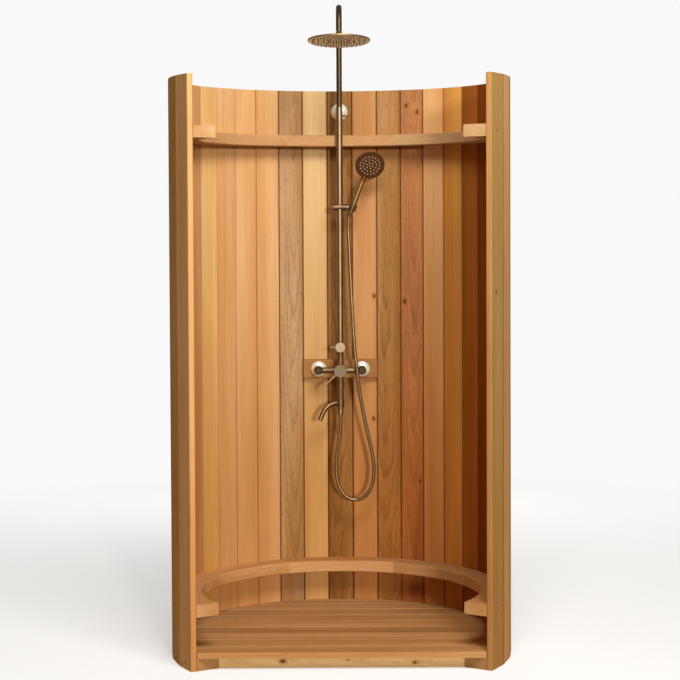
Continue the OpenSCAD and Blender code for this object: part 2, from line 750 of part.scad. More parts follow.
// Mixer
module mixer_body() color(bronze) difference() {
    union() {
        at_inlets() translate([0, column_y, 0]) {
            translate([0, boss_front, 0]) rotate([90, 0, 0]) knob_disc(inlet_boss_d, 2 * boss_front, 3);
            along_y(supply_d - 0.3, boss_front + 11);
        }
        translate([-inlet_pitch / 2, column_y, mixer_z]) along_x(bar_d, inlet_pitch);
        translate([0, column_y - barrel_front, mixer_z]) along_y(barrel_d, barrel_front + boss_front);
        translate([0, column_y, collar_z + collar_h + metal_fit])
            cylinder(d = riser_d, h = riser_z0 - metal_fit - collar_z - collar_h - metal_fit);
        translate([0, column_y, riser_z0 - eps]) cylinder(d = riser_bore - 2 * metal_fit, h = spigot_l);
        translate([0, column_y, collar_z]) cylinder(d = pivot_d, h = collar_h + eps);
        translate([0, column_y - diverter_boss_l, diverter_z]) along_y(diverter_boss_d, diverter_boss_l + 6);
    }
    translate([0, column_y - barrel_front - eps, mixer_z])
        along_y(cartridge_d + 2 * metal_fit, barrel_front + cartridge_back + eps);
    translate([0, column_y - diverter_boss_l - eps, diverter_z])
        along_y(diverter_spindle_d + 2 * turn_fit, diverter_boss_l);
    translate([0, column_y, collar_z - eps])
        cylinder(d = outlet_stem_d + 2 * metal_fit, h = outlet_stem_l + 2 * eps);
}

module inlet_unions() color(nickel) at_inlets() {
    difference() {
        union() {
            translate([0, union_front_y, 0]) along_y(supply_d - 0.9, union_back_y - union_front_y);
            translate([0, union_back_y - supply_thread_l, 0]) along_y(supply_d, supply_thread_l);
        }
        translate([0, union_front_y - eps, 0]) along_y(supply_bore, union_back_y - union_front_y + 2 * eps);
    }
    translate([0, nut_front_y, 0]) difference() {
        rotate([-90, 0, 0]) cylinder(d = nut_af / cos(30), h = nut_l, $fn = 6);
        translate([0, -eps, 0]) along_y(supply_d + 2 * metal_fit, nut_l + 2 * eps);
    }
}

module mixer_cartridge() color(ceramic) translate([0, column_y + cartridge_back - metal_fit, mixer_z])
    difference() {
        rotate([90, 0, 0]) knob_disc(cartridge_d, cartridge_l, 1);
        translate([0, -cartridge_l - eps, 0]) along_y(stem_d + 2 * turn_fit, cartridge_l - 5);
    }

module cartridge_stem() color(nickel) translate([0, column_y - cap_pivot, mixer_z]) {
    sphere(d = stem_d);
    along_y(stem_d, cap_pivot - 10);
}

// The control cap's middle, with the lever along -X and the cap's axis along +Y
module at_cap() translate([0, column_y - cap_pivot, mixer_z]) rotate([0, -lever_a, 0]) children();

module mixer_cap() color(bronze) at_cap() difference() {
    translate([0, cap_pivot - cap_back, 0]) rotate([90, 0, 0]) knob_disc(cap_d, cap_t, cap_chamfer);
    sphere(d = stem_d + 2 * turn_fit);
    rotate([-90, 0, 0]) cylinder(d1 = stem_d + 2 * turn_fit, d2 = stem_d + 16, h = cap_t);
    translate([-cap_d, lever_y, 0]) along_x(lever_d + metal_fit, cap_d - lever_seat_r);
}
lever_y = cap_pivot - cap_back - cap_t / 2;

module mixer_lever() color(bronze) at_cap() translate([0, lever_y, 0]) {
    translate([-cap_d / 2 - lever_l + lever_d / 2, 0, 0]) {
        along_x(lever_d, cap_d / 2 + lever_l - lever_d / 2 - lever_seat_r - metal_fit);
        sphere(d = lever_d);
    }
}

module diverter_knob() color(bronze) translate([0, column_y - diverter_boss_l - turn_fit, diverter_z]) {
    rotate([90, 0, 0]) knob_disc(diverter_d, diverter_knob_t, 1);
    translate([0, -eps, 0]) along_y(diverter_spindle_d, diverter_boss_l - 3);
    translate([-diverter_d / 2 - diverter_pin_l, -diverter_knob_t / 2, 0]) {
        along_x(diverter_pin_d, diverter_pin_l + eps);
        sphere(d = diverter_pin_d);
    }
}

// Spout, drawn pointing along -Y and then turned to the left
module at_spout() translate([0, column_y, spout_z]) rotate(-spout_turn_a) children();

// The bend starts inside the collar, and ends inside the tip
module spout_bend(d) translate([0, -spout_start, -spout_bend_r]) rotate([90, 0, 90])
    rotate_extrude(angle = spout_bend_a, start = 90) translate([spout_bend_r, 0]) circle(d = d);

// The end of the spout's bend, with the water leaving along -Z
module at_tip() translate([0, -spout_start, -spout_bend_r]) rotate([spout_bend_a, 0, 0])
    translate([0, 0, spout_bend_r]) rotate([-90, 0, 0]) children();

module spout() color(bronze) at_spout() difference() {
    union() {
        translate([0, 0, -collar_h / 2 + metal_fit]) knob_disc(collar_d, collar_h - metal_fit, 1);
        spout_bend(spout_d);
        at_tip() translate([0, 0, -spout_tip_l]) cylinder(d = spout_d + tip_step, h = spout_tip_l + 2);
    }
    rotate([90, 0, 0]) cylinder(d = spout_bore - 1, h = spout_start + 3);
    spout_bend(spout_bore);
    at_tip() translate([0, 0, -spout_tip_l - eps])
        cylinder(d = spout_bore + tip_step, h = spout_tip_l + eps + 1);
    translate([0, 0, -collar_h]) cylinder(d = pivot_d + 2 * turn_fit, h = 2 * collar_h);
}

module spout_aerator() color(nickel) at_spout() at_tip() translate([0, 0, -spout_tip_l + 1]) difference() {
    cylinder(d = spout_bore + tip_step - 2 * metal_fit, h = aerator_l);
    translate([0, 0, -eps]) cylinder(d = spout_bore - 4, h = 2 * eps);
}

for (i = [0 : stave_n - 1]) stave(i);
upper_rib();
lower_rib();
base_rib();
deck_slats();
toe_board();
deck_joists();
mixer_backing_board();
stave_screws();
riser_pipe();
arm_clamp_pin();
overhead_arm();
rain_ball_nut();
rain_head_body();
rain_nozzles();
wall_bracket();
cover_plates();
slider_body();
slider_knob();
handset_holder();
handset_body();
handset_face();
handset_nozzles();
hose_upper_nut();
shower_hose();
hose_lower_nut();
hose_outlet();
mixer_body();
inlet_unions();
mixer_cartridge();
cartridge_stem();
mixer_cap();
mixer_lever();
diverter_knob();
spout();
spout_aerator();
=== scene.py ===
import math

import bmesh
import bpy
from mathutils import Matrix, Vector


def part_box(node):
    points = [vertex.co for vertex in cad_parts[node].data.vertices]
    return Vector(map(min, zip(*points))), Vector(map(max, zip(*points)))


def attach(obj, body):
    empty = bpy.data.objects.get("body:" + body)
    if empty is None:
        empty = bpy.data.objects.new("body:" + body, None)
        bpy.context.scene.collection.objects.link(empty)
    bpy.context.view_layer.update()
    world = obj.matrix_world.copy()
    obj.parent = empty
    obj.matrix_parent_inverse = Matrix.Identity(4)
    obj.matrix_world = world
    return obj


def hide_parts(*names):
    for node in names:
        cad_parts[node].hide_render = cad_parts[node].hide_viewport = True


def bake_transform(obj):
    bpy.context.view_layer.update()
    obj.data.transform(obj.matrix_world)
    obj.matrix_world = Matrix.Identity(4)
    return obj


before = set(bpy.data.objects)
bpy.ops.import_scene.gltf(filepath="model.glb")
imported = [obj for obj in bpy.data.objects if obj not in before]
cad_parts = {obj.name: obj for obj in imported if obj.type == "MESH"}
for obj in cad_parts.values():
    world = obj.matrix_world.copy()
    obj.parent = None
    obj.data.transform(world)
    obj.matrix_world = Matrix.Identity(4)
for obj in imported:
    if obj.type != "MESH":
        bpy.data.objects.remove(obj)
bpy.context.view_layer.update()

# The looks of the outdoor shower: its cedar boards, its aged brass fittings and its wound hose.
# All lengths are in metres.

# The photograph's frame and the camera that was fitted to it
PHOTO_PX = 680
FOCAL_PX = 1828
SENSOR_MM = 36
EYE = Vector((0, -5.842, 1.380))
LOOK_DOWN = math.radians(1.928)
ROLL = math.radians(-0.26)
SHIFT_Y = -0.085

# The wall: staves round the back and on each side, and the angle that each takes up
BACK_STAVES = 13
SIDE_STAVES = 6
STAVES = BACK_STAVES + 2 * SIDE_STAVES
BACK_STEP = math.radians(9.42)
WALL_END = math.radians(122.2)
BACK_HALF = BACK_STAVES * BACK_STEP / 2
SIDE_STEP = (WALL_END - BACK_HALF) / SIDE_STAVES
WALL_R = 0.525
STAVE_T = 0.019

# The left staves have less grime in their joints than the rest
LEFT_STAVES = 10
LEFT_GRIME = 0.3
GRIME = 0.7

# The ribs: their middle from the wall's centre, and about the angle from one segment's middle to the next
RIB_R = 0.49
RIB_SEGMENT_TURN = math.radians(47.8)

# The floor's slats
SLATS = 9
SLAT_GAP = 0.006

# The screws through the staves into the ribs. The recess is how deep in the stave a head's underside lies,
# and the waist is how far out the star's inner corners are, as a share of its points.
SCREW_SIDES = 12
SCREW_HEAD_R = 0.004
SCREW_HEAD_T = 0.003
SCREW_R = 0.002
SCREW_L = 0.048
SCREW_RECESS = 0.004
STAR_R = 0.0021
STAR_WAIST = 0.66
STAR_DEPTH = 0.0016

# The hose: its route from the hand shower down round its loop and up to the outlet, in metres
HOSE_ROUTE = [
    (0.037, 0.432, 1.408), (0.033, 0.433, 1.398), (0.030, 0.434, 1.384), (0.029, 0.434, 1.350),
    (0.032, 0.430, 1.280), (0.037, 0.424, 1.160), (0.043, 0.417, 1.040), (0.049, 0.411, 0.940),
    (0.057, 0.409, 0.866), (0.066, 0.411, 0.790), (0.080, 0.416, 0.710), (0.096, 0.420, 0.635),
    (0.109, 0.423, 0.575), (0.114, 0.425, 0.520), (0.107, 0.427, 0.470), (0.086, 0.428, 0.434),
    (0.052, 0.429, 0.418), (0.018, 0.430, 0.431), (-0.007, 0.430, 0.468), (-0.016, 0.430, 0.520),
    (-0.014, 0.430, 0.575), (-0.005, 0.430, 0.630), (0.000, 0.430, 0.680), (0.000, 0.430, 0.720),
]
HOSE_D = 0.013
HOSE_SIDES = 20
CURVE_STEPS = 24

# The hose's winding: from ridge to ridge, how deep the groove is, and how high each ring of a ridge stands
RIDGE_GAP = 0.0033
GROOVE_DEPTH = 0.0007
RIDGE_RINGS = (0.0, 1.0, 1.0, 0.0)

# The heights where the hose's upper lengths meet
HOSE_MEETS = (1.322, 1.235)

# How far the rain head tips forwards, and how far up from its face the painted shade on its back begins
RAIN_TILT = math.radians(6)
RAIN_FACE_T = 0.0014

# The middle of the hand shower's holder, and the way that its handle points
HOLDER = Vector((0.044, 0.430, 1.426))
HANDLE_WAY = Vector((0.357, -0.087, 0.930))

# How far along that way the hand shower's brass turns to bronze
BRONZE_FROM = 0.088
BRONZE_FULL = 0.102

# The mixer: where its end bosses begin and where its inlets are, from its middle, and the inlets' thread
BOSS_X = 0.0605
INLET_X = 0.075
THREAD_PITCH = 0.0018
THREAD_L = 0.016
THREAD_FADE = 0.0005

# From wire to wire of the spout's screen
SCREEN_PITCH = 0.0011

# The studio: its floor, how bright the camera sees it and where it fades into the backdrop
FLOOR_R = 9.0
FLOOR_GLOW = 0.48
FLOOR_FADE = (1.3, 4.2)

# The room that lights the object, the backdrop that the camera sees, and the backdrop's share in gloss
ROOM = {"Color": (1.0, 0.94, 0.86, 1), "Strength": 0.15}
BACKDROP = {"Color": (1, 1, 1, 1), "Strength": 0.95}
GLOSS_SHARE = 0.35

# How far the sun is to the right of the camera, and how high
SUN_RIGHT = math.radians(13)
SUN_UP = 0.115


def linear(code):
    """The linear colour of a six-digit code."""
    def channel(part):
        c = int(part, 16) / 255
        return c / 12.92 if c <= 0.04045 else ((c + 0.055) / 1.055) ** 2.4
    return (channel(code[0:2]), channel(code[2:4]), channel(code[4:6]), 1.0)


def make_camera():
    """The camera that was fitted to the photograph."""
    data = bpy.data.cameras.new("camera")
    data.sensor_width = SENSOR_MM
    data.lens = SENSOR_MM * FOCAL_PX / PHOTO_PX
    data.shift_y = SHIFT_Y
    data.clip_end = 60
    camera = bpy.data.objects.new("camera", data)
    bpy.context.scene.collection.objects.link(camera)
    turned = Matrix.Rotation(math.pi / 2 - LOOK_DOWN, 4, "X") @ Matrix.Rotation(ROLL, 4, "Z")
    camera.matrix_world = Matrix.Translation(EYE) @ turned
    bpy.context.scene.camera = camera


class Number:
    """What a node gives out. Arithmetic on it adds Math nodes to its finish."""

    def __init__(self, finish, socket):
        self.finish, self.socket = finish, socket

    def math(self, operation, *others):
        return self.finish.node("Math", {"operation": operation}, enumerate((self, *others)))

    def __add__(self, other):
        return self.math("ADD", other)

    def __sub__(self, other):
        return self.math("SUBTRACT", other)

    def __rsub__(self, other):
        return self.finish.node("Math", {"operation": "SUBTRACT"}, {0: other, 1: self})

    def __mul__(self, other):
        return self.math("MULTIPLY", other)

    def __truediv__(self, other):
        return self.math("DIVIDE", other)

    def __pow__(self, other):
        return self.math("POWER", other)

    __radd__ = __add__
    __rmul__ = __mul__


class Finish:
    """A material while its nodes are made, or another owner of nodes, such as the world."""

    def __init__(self, name, owner=None):
        self.owner = owner or bpy.data.materials.new(name)
        self.owner.use_nodes = True
        self.tree = self.owner.node_tree
        self.tree.nodes.clear()

    def node(self, kind, settings=(), inputs=(), output=0):
        """Adds a node. Its settings come first, and then the values or links of its sockets."""
        made = self.tree.nodes.new("ShaderNode" + kind)
        for key, value in dict(settings).items():
            if key == "stops":
                self.set_ramp(made.color_ramp, value)
            else:
                setattr(made, key, value)
        for key, value in dict(inputs).items():
            if isinstance(value, Number):
                self.tree.links.new(value.socket, made.inputs[key])
            else:
                made.inputs[key].default_value = value
        return Number(self, made.outputs[output])

    def set_ramp(self, ramp, stops):
        ramp.elements.remove(ramp.elements[1])
        for k, (place, level) in enumerate(stops):
            stop = ramp.elements[0] if k == 0 else ramp.elements.new(place)
            stop.position = place
            stop.color = (level, level, level, 1)

    def here(self):
        return self.node("TexCoord", output="Object")

    def split(self, vector):
        made = self.node("SeparateXYZ", (), {0: vector})
        return [Number(self, made.socket.node.outputs[k]) for k in range(3)]

    def join(self, x, y, z):
        return self.node("CombineXYZ", (), {0: x, 1: y, 2: z})

    def shifted(self, vector, by):
        return self.node("VectorMath", {"operation": "ADD"}, {0: vector, 1: by})

    def turned(self, vector, angle):
        return self.node("VectorRotate", {"rotation_type": "Z_AXIS"}, {"Vector": vector, "Angle": angle})

    def noise(self, vector, detail=2.0, rough=0.5):
        inputs = {"Vector": vector, "Scale": 1.0, "Detail": detail, "Roughness": rough}
        return self.node("TexNoise", (), inputs)

    def clouds(self, x, y, z, detail=2.0):
        """Noise over the object, at so many changes to the metre along each axis."""
        return self.noise(self.tinted(self.here(), (x, y, z)), detail, 0.6)

    def chance(self, number):
        """A value from 0 to 1 that looks random, and is always the same for the same number."""
        return self.node("TexWhiteNoise", {"noise_dimensions": "1D"}, {"W": number}, "Value")

    def ramp(self, factor, *stops):
        return self.node("ValToRGB", {"stops": stops}, {0: factor})

    def smooth(self, value, low, high):
        """0 below low and 1 above high, with a smooth rise."""
        return self.node("MapRange", {"interpolation_type": "SMOOTHSTEP"}, {0: value, 1: low, 2: high})

    def mix(self, factor, a, b):
        return self.node("Mix", {"data_type": "RGBA"}, {0: factor, 6: a, 7: b}, 2)

    def scaled(self, colour, by):
        if isinstance(colour, tuple):
            colour = colour[:3]
        return self.node("VectorMath", {"operation": "SCALE"}, {0: colour, "Scale": by})

    def tinted(self, colour, by):
        return self.node("VectorMath", {"operation": "MULTIPLY"}, {0: colour, 1: by})

    def bump(self, height, distance, strength=1.0):
        return self.node("Bump", (), {"Height": height, "Distance": distance, "Strength": strength})

    def shade(self, **inputs):
        """The surface's shader, whose inputs are named with _ for a space."""
        shader = self.node("BsdfPrincipled", (), {k.replace("_", " "): v for k, v in inputs.items()})
        self.show(shader)
        return self.owner

    def show(self, shader, target="Material"):
        """Joins a shader to the output."""
        out = self.tree.nodes.new("ShaderNodeOutput" + target)
        self.tree.links.new(shader.socket, out.inputs["Surface"])


def finished_piece(name, mesh, smooth=False):
    """Turns a finished bmesh into an object at the origin."""
    data = bpy.data.meshes.new(name)
    mesh.to_mesh(data)
    mesh.free()
    piece = bpy.data.objects.new(name, data)
    bpy.context.scene.collection.objects.link(piece)
    if smooth:
        data.shade_smooth()
        data.set_sharp_from_angle(angle=math.radians(35))
    return piece


# Cedar: two tones that a board drifts between, and the tone of its late wood. The umber and shadow tones
# are partly painted shade, and the shade tone is darkened by painted shade.
CEDAR = {
    "honey": ("D6AC70", "CC9C5E", "A06C34"),
    "tan": ("CEA270", "C28E58", "98602E"),
    "pale": ("CEAE7E", "C09A64", "A07440"),
    "amber": ("BE8E5C", "AE7A48", "865628"),
    "bleached": ("BC9468", "AC8052", "865A2E"),
    "weathered": ("B4926A", "9E7346", "70482A"),
    "red": ("B47C4C", "A06640", "724020"),
    "brown": ("AA7E4E", "946634", "60381A"),
    "dark": ("9C7242", "86582C", "4E2C10"),
    "umber": ("A86628", "94521C", "683410"),
    "shadow": ("8E4A16", "7E3E0E", "562808"),
    "shade": ("A4784A", "926436", "6A4422"),
    "warm": ("DAA66E", "CE9258", "A2662E"),
    "russet": ("D6994E", "C8873C", "98601E"),
    # Painted light: this tone is partly paler to stand for light on the toe board, which sits back under
    # the slats.
    "painted_light_cream": ("E6BE86", "D6AC70", "AC8448"),
}

# How a board was sawn: its log's heart from the board's face, how far the heart leans along the board, the
# width of a year, how much the years wave and swirl, and how far the late wood, the flecks and the patches
# show. A band is the tone of a strip of other wood.
SAWN = {
    "straight": {"heart": (0.38, -0.14), "lean": 0.004, "year": 0.0034, "wave": 0.003, "swirl": 0.0,
                 "late": 0.22, "fleck": 0.05, "patch": 0.10},
    "half": {"heart": (0.09, -0.07), "lean": 0.012, "year": 0.0046, "wave": 0.004, "swirl": 0.004,
             "late": 0.36, "fleck": 0.14, "patch": 0.16},
    "flat": {"heart": (0.008, -0.045), "lean": 0.030, "year": 0.0060, "wave": 0.007, "swirl": 0.018,
             "late": 0.42, "fleck": 0.42, "patch": 0.30},
    "wild": {"heart": (-0.012, -0.028), "lean": 0.045, "year": 0.0070, "wave": 0.016, "swirl": 0.040,
             "late": 0.46, "fleck": 0.34, "patch": 0.42},
    "banded": {"heart": (0.38, -0.14), "lean": 0.004, "year": 0.0040, "wave": 0.003, "swirl": 0.0,
               "late": 0.25, "fleck": 0.08, "patch": 0.12, "band": "9C8A44"},
}

# Grime in a joint: how far in from the board's edge it reaches, where it is full, and its colour
GRIME_WIDE = 0.0042
GRIME_FULL = 0.0012
GRIME_TONE = "4A2408"

# The wood round a knot, and the knot
KNOT_RING_TONE = "8A4E20"
KNOT_TONE = "502812"

# The staves from the left end of the wall to the right: tone, how each was sawn, and how strongly painted
# shade deepens and warms its foot
STAVE_BOARDS = [
    # Painted light: the russet tone of the second and third staves is warmer, partly to stand for warm
    # light on the wall's left outer face.
    ("warm", "half", 0.6), ("russet", "straight", 0.6), ("russet", "half", 0.8), ("honey", "straight", 0.8),
    ("tan", "flat", 0.8), ("amber", "straight", 0.8), ("honey", "straight", 1.0), ("tan", "half", 0.9),
    ("tan", "straight", 0.8), ("tan", "half", 0.7), ("weathered", "flat", 0.5), ("pale", "straight", 1.5),
    ("dark", "wild", 0.9), ("amber", "straight", 1.1), ("brown", "wild", 1.5), ("red", "flat", 1.6),
    # Painted shade: staves 19 and 20 take the umber and shadow tones, which are partly the shade on the
    # right wall's inner face.
    ("warm", "straight", 0.9), ("russet", "half", 0.8), ("umber", "straight", 0.3), ("shadow", "half", 0.6),
    ("russet", "flat", 0.8), ("honey", "straight", 0.8), ("tan", "half", 0.8), ("warm", "half", 0.8),
    ("amber", "banded", 0.8),
]


def from_knot(across, place, knot, reach):
    """How many radii a place is from a knot. A reach below 1 draws the knot out along the grain."""
    x, z, radius = knot
    return ((across - x) ** 2 + ((place - z) * reach) ** 2) ** 0.5 / radius


def late_wood(f, cut, grain, across, through, place, knots):
    """How far the dark late wood of the years shows, from 0 to 1.
    The years are rings round the log's heart, cut by the board's face and bent round its knots."""
    sway = grain(3, 1.1) - 0.5
    ripple = grain(16, 5) - 0.5
    heart_x, heart_y = cut["heart"]
    swirl = grain(13, 8, 1.0) - 0.5
    off_x = across - heart_x + sway * 0.035 + ripple * cut["wave"] + swirl * cut["swirl"]
    off_y = through - heart_y - (place - 0.9) * cut["lean"] + sway * 0.012 + ripple * cut["wave"] * 0.5
    for knot in knots:
        off_x = off_x + (1 - f.smooth(from_knot(across, place, knot, 0.6), 0.4, 3.5)) * 0.006
    years = (off_x * off_x + off_y * off_y) ** 0.5 / cut["year"] + (grain(60, 6) - 0.5) * 0.5
    late = f.ramp(years.math("FRACT"), (0.0, 0.0), (0.45, 0.12), (0.85, 1.0), (1.0, 0.0))
    return late * (0.3 + f.chance(years.math("FLOOR")) * 0.7) * (0.5 + grain(7, 1.3))


def grimed(f, colour, across, joints, grime):
    """The colour with grime along the edges where other boards meet the board."""
    for joint in joints:
        inwards = across * math.copysign(1, joint)
        near = f.smooth(inwards, abs(joint) - GRIME_WIDE, abs(joint) - GRIME_FULL)
        colour = f.mix(near * grime, colour, linear(GRIME_TONE))
    return colour


def painted_foot_shade(f, colour, height, foot_shade):
    """The colour of a stave, with painted shade that makes it deeper and warmer towards its foot."""
    foot_shade_share = 1 - f.smooth(height, 0.35, 1.35)
    return f.mix(foot_shade_share, colour, f.tinted(colour, (0.88 ** foot_shade, 0.74 ** foot_shade, 0.56 ** foot_shade)))


def knotted(f, colour, across, place, knots):
    """The colour with each knot and the browner wood round it."""
    for knot in knots:
        near = from_knot(across, place, knot, 0.7)
        colour = f.mix((1 - f.smooth(near, 1.0, 2.6)) * 0.45, colour, linear(KNOT_RING_TONE))
        colour = f.mix((1 - f.smooth(near, 0.5, 1.4)) * 0.8, colour, linear(KNOT_TONE))
    return colour


def cedar(name, tone, sawn, seed, order="XYZ", turn=0.0, centre=(0, 0, 0), joints=(), piece=None,
          knots=(), foot_shade=0.0, grime=GRIME):
    """Cedar whose grain runs along the last axis of order, once the piece is turned and centred.
    joints are where other boards meet it. piece is a number that differs between the boards of one node.
    foot_shade is how strongly painted shade deepens a stave's foot, and grime how dirty its joints are."""
    f = Finish(name)
    pale, deep, late_tone = (linear(code) for code in CEDAR[tone])
    cut = SAWN[sawn]
    spot = f.turned(f.here(), turn(f) if callable(turn) else turn)
    spot = f.shifted(spot, [-c for c in centre])
    axes = dict(zip("XYZ", f.split(spot)))
    across, through, place = (axes[letter] for letter in order)
    along = place
    if piece:
        piece = piece(f, axes)
        along = along + piece * 3.71
        across = across + piece * 0.013
    along = along + seed * 2.37

    def grain(wide, long, detail=2.0, rough=0.5):
        """Noise at so many changes to the metre across the grain and along it."""
        return f.noise(f.join(across * wide, through * wide, along * long), detail, rough)

    late = late_wood(f, cut, grain, across, through, place, knots)
    fleck = f.smooth(grain(110, 38, 3.0, 0.6), 0.54, 0.66) * (0.3 + grain(9, 3))
    streak = grain(120, 2.0, 3.0, 0.6) - 0.5
    fibre = grain(850, 22) - 0.5
    patch = grain(12, 5) - 0.5

    colour = f.mix(f.smooth(grain(11, 0.9), 0.32, 0.68), pale, deep)
    colour = f.mix(late * cut["late"], colour, late_tone)
    colour = f.mix(fleck * cut["fleck"], colour, late_tone)
    if "band" in cut:
        band = f.smooth(grain(48, 0.4, 3.0), 0.44, 0.56)
        colour = f.mix(band * 0.7, colour, linear(cut["band"]))
    light = 1 + streak * 0.34 + fibre * 0.14 + patch * cut["patch"]
    if piece:
        light = light * (0.88 + f.chance(piece + 0.37) * 0.24)
    colour = grimed(f, f.scaled(colour, light), across, joints, grime)
    if foot_shade:
        colour = painted_foot_shade(f, colour, place, foot_shade)
    return f.shade(
        Base_Color=knotted(f, colour, across, place, knots),
        Roughness=0.6 + streak * 0.16 + late * 0.08,
        Specular_IOR_Level=0.04,
        Normal=f.bump(late * 0.5 + fibre * 0.6 + streak * 0.6, 0.0005, 0.8),
    )


def stave_turn(k):
    """The angle of stave k's middle from the middle of the back, positive to the right."""
    if k < SIDE_STAVES:
        return -WALL_END + (k + 0.5) * SIDE_STEP
    if k < SIDE_STAVES + BACK_STAVES:
        return -BACK_HALF + (k - SIDE_STAVES + 0.5) * BACK_STEP
    return BACK_HALF + (k - SIDE_STAVES - BACK_STAVES + 0.5) * SIDE_STEP


def stave_step(k):
    """The angle that stave k takes up."""
    return BACK_STEP if SIDE_STAVES <= k < SIDE_STAVES + BACK_STAVES else SIDE_STEP


def dress(node, material):
    """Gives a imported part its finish."""
    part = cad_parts[node]
    if not part.material_slots:
        part.data.materials.append(material)
    for slot in part.material_slots:
        slot.material = material


# Knots by the stave's number: across its face, up it, and the radius
STAVE_KNOTS = {
    14: [(0.033, 1.118, 0.0050), (0.030, 0.690, 0.0050)],
    15: [(-0.004, 1.640, 0.0035)],
    16: [(-0.028, 1.100, 0.0060), (0.030, 0.480, 0.0045), (-0.020, 1.775, 0.0050), (0.022, 1.752, 0.0050)],
    25: [(0.010, 1.160, 0.0040)],
}


def dress_wall():
    """Each stave has its own board, which meets its neighbours at its edges."""
    for k, (tone, sawn, foot_shade) in enumerate(STAVE_BOARDS):
        face = WALL_R * math.cos(stave_step(k) / 2)
        half = WALL_R * math.sin(stave_step(k) / 2)
        finish = cedar(
            f"cedar_stave_{k + 1}", tone, sawn, seed=k + 1, turn=stave_turn(k), centre=(0, face, 0),
            joints=[-half] * (k > 0) + [half] * (k < STAVES - 1), knots=STAVE_KNOTS.get(k + 1, ()), foot_shade=foot_shade,
            grime=LEFT_GRIME if k < LEFT_STAVES else GRIME,
        )
        dress(f"stave_{k + 1:02d}", finish)


def rib_segment(finish):
    """Which of a rib's five segments a point is in, from -2 at the left to 2."""
    x, y = finish.split(finish.here())[:2]
    angle = x.math("ARCTAN2", y)
    inner, outer = BACK_HALF - 4 * BACK_STEP, BACK_HALF + SIDE_STEP
    number = angle.math("GREATER_THAN", inner) + angle.math("GREATER_THAN", outer)
    return number - angle.math("LESS_THAN", -inner) - angle.math("LESS_THAN", -outer)


# Knots in the toe board: up its face, along it, and the radius
TOE_KNOTS = [(0.002, -0.182, 0.006), (-0.004, 0.226, 0.004), (0.006, 0.020, 0.002)]


def front_middle(node):
    """The middle of a board's front, at x = 0."""
    low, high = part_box(node)
    return (0, low.y, (low.z + high.z) / 2)


def dress_floor_and_ribs():
    """The ribs' and the slats' grain differs from segment to segment and from slat to slat."""
    ribs = [("upper_rib", "bleached"), ("lower_rib", "amber"), ("base_rib", "shade")]
    for seed, (node, tone) in enumerate(ribs, 40):
        finish = cedar(
            "cedar_" + node, tone, "half", seed, order="YZX",
            turn=lambda f: rib_segment(f) * RIB_SEGMENT_TURN, centre=(0, RIB_R, 0),
            piece=lambda f, axes: rib_segment(f) + 2,
        )
        dress(node, finish)
    low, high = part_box("deck_slats")
    pitch = (high.y - low.y + SLAT_GAP) / SLATS

    def slat_number(f, axes):
        return ((axes["Y"] - low.y + SLAT_GAP / 2) / pitch).math("FLOOR")

    dress("deck_slats", cedar("cedar_slats", "amber", "half", 51, order="YZX", piece=slat_number))
    dress("deck_joists", cedar("cedar_joists", "red", "half", 52, order="XZY"))
    # The toe board's pale tone is partly painted light on a board that sits in shade.
    dress("toe_board", cedar("cedar_toe_board", "painted_light_cream", "flat", 53, order="ZYX",
                             centre=front_middle("toe_board"), knots=TOE_KNOTS))
    dress("mixer_backing_board", cedar("cedar_backing_board", "shade", "half", 54, order="ZYX",
                                       centre=front_middle("mixer_backing_board")))


def metal(name, colour, worn, rough, brushed="Z", worn_share=0.5, dark=None, metallic=1.0):
    """A brushed metal, cloudy with age. The brush marks run along one axis.
    dark tells how far a place is darkened, and its colour."""
    f = Finish(name)
    marks = f.clouds(*(12 if letter == brushed else 350 for letter in "XYZ")) - 0.5
    tarnish = f.smooth(f.clouds(22, 22, 22, 1.5), 0.3, 0.8)
    tone = f.mix(tarnish * worn_share, linear(colour), linear(worn))
    if dark:
        share, shade = dark
        tone = f.mix(share(*f.split(f.here())), tone, linear(shade))
    return f.shade(
        Base_Color=f.scaled(tone, 1 + marks * 0.10),
        Metallic=metallic,
        Roughness=rough + tarnish * 0.04 + marks * 0.03,
        Normal=f.bump(marks, 0.000004, 0.3),
    )


def moulded(name, colour, rough, metallic=0.0):
    """A moulded piece with a fine, even texture."""
    f = Finish(name)
    speck = f.clouds(900, 900, 900) - 0.5
    cloud = f.clouds(30, 30, 30) - 0.5
    return f.shade(
        Base_Color=f.scaled(linear(colour), 1 + cloud * 0.22 + speck * 0.06),
        Metallic=metallic,
        Roughness=rough + cloud * 0.12 + speck * 0.05,
        Normal=f.bump(speck, 0.00002, 0.5),
    )


def plated_handset():
    """The hand shower's shell: brass along the handle, and dark bronze on the head."""
    f = Finish("plated_handset")
    x, y, z = f.split(f.here())
    along = (x - HOLDER.x) * HANDLE_WAY.x + (y - HOLDER.y) * HANDLE_WAY.y + (z - HOLDER.z) * HANDLE_WAY.z
    head = f.smooth(along, BRONZE_FROM, BRONZE_FULL)
    marks = f.clouds(240, 240, 40) - 0.5
    tarnish = f.smooth(f.clouds(30, 30, 30, 3.0), 0.35, 0.75)
    handle = f.mix(tarnish * 0.4, linear("9E8450"), linear("705C34"))
    bronze = f.mix(tarnish * 0.5, linear("6A4214"), linear("482C0E"))
    return f.shade(
        Base_Color=f.scaled(f.mix(head, handle, bronze), 1 + marks * 0.14),
        Metallic=1.0 - head * 0.3,
        Roughness=0.4 + tarnish * 0.06 + marks * 0.06,
        Normal=f.bump(marks, 0.000004, 0.3),
    )


